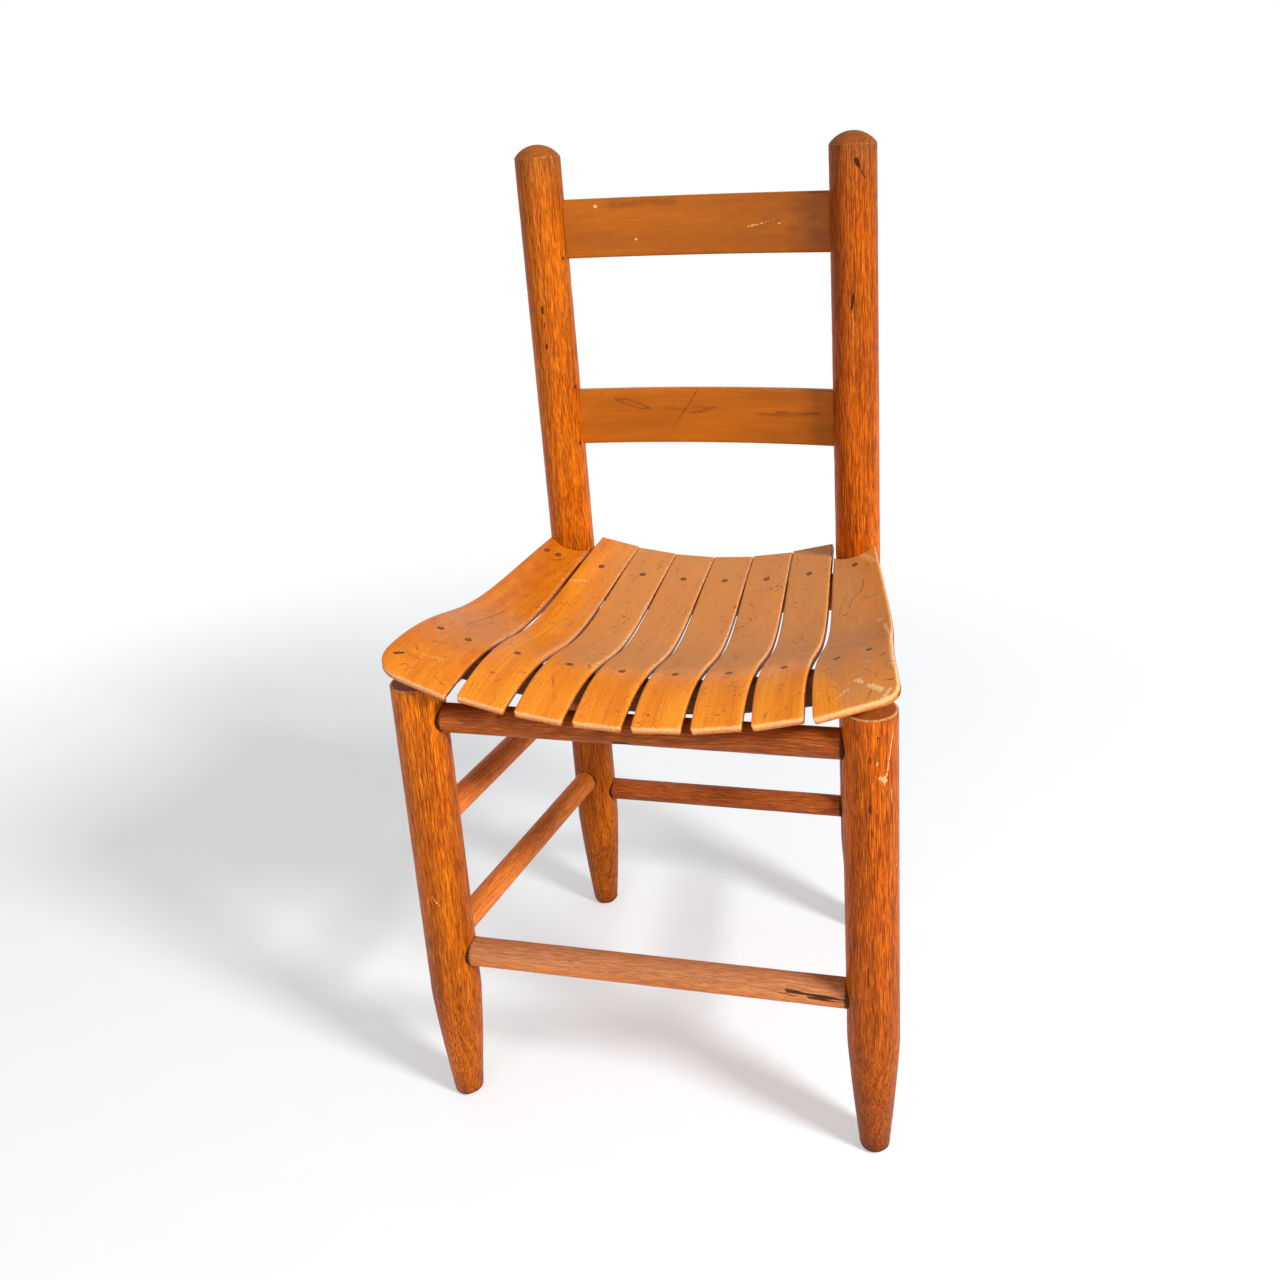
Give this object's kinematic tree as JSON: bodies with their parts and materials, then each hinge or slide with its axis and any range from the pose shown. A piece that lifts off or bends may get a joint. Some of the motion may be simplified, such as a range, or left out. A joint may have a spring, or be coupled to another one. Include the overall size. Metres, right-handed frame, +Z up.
{
  "type": "slat seat chair",
  "caption": "Armless side chair with turned legs and rungs, two bent back slats, and a dished seat of bent, fanned slats nailed to hidden curved cleats.",
  "frame": {"origin": "on the floor, below the middle of the chair", "axes": "+Z up, the sitter faces -Y, +X to the right of someone who looks at the front"},
  "size_m": [0.4287, 0.3448, 0.8315],
  "materials": {
    "uprights": "oak under worn orange varnish, satin, open grain, chipped at the edges",
    "rungs": "oak under worn orange-brown varnish, rubbed dull on top",
    "back_slats": "fine-grained maple under yellow-orange varnish, scuffed",
    "seat_slats": "fine-grained maple under orange varnish, worn dull and scratched, pale rubbed edges",
    "cleats": "bare sawn hardwood, dull",
    "nails": "dark tarnished steel"
  },
  "bodies": {
    "root": {"front_leg_left": "uprights", "front_leg_right": "uprights", "back_post_left": "uprights", "back_post_right": "uprights", "front_seat_rung": "rungs", "front_stretcher": "rungs", "back_seat_rung": "rungs", "back_stretcher": "rungs", "left_seat_rung": "rungs", "left_upper_rung": "rungs", "left_lower_rung": "rungs", "right_seat_rung": "rungs", "right_upper_rung": "rungs", "right_lower_rung": "rungs", "top_slat": "back_slats", "mid_slat": "back_slats", "seat_slat_1": "seat_slats", "seat_slat_2": "seat_slats", "seat_slat_3": "seat_slats", "seat_slat_4": "seat_slats", "seat_slat_5": "seat_slats", "seat_slat_6": "seat_slats", "seat_slat_7": "seat_slats", "seat_slat_8": "seat_slats", "front_cleat": "cleats", "back_cleat": "cleats", "nail_front_1": "nails", "nail_front_2": "nails", "nail_front_3": "nails", "nail_front_4": "nails", "nail_front_5": "nails", "nail_front_6": "nails", "nail_front_7": "nails", "nail_front_8": "nails", "nail_front_9": "nails", "nail_front_10": "nails", "nail_back_1": "nails", "nail_back_2": "nails", "nail_back_3": "nails", "nail_back_4": "nails", "nail_back_5": "nails", "nail_back_6": "nails", "nail_back_7": "nails", "nail_back_8": "nails", "nail_extra": "nails"}
  },
  "joints": []
}
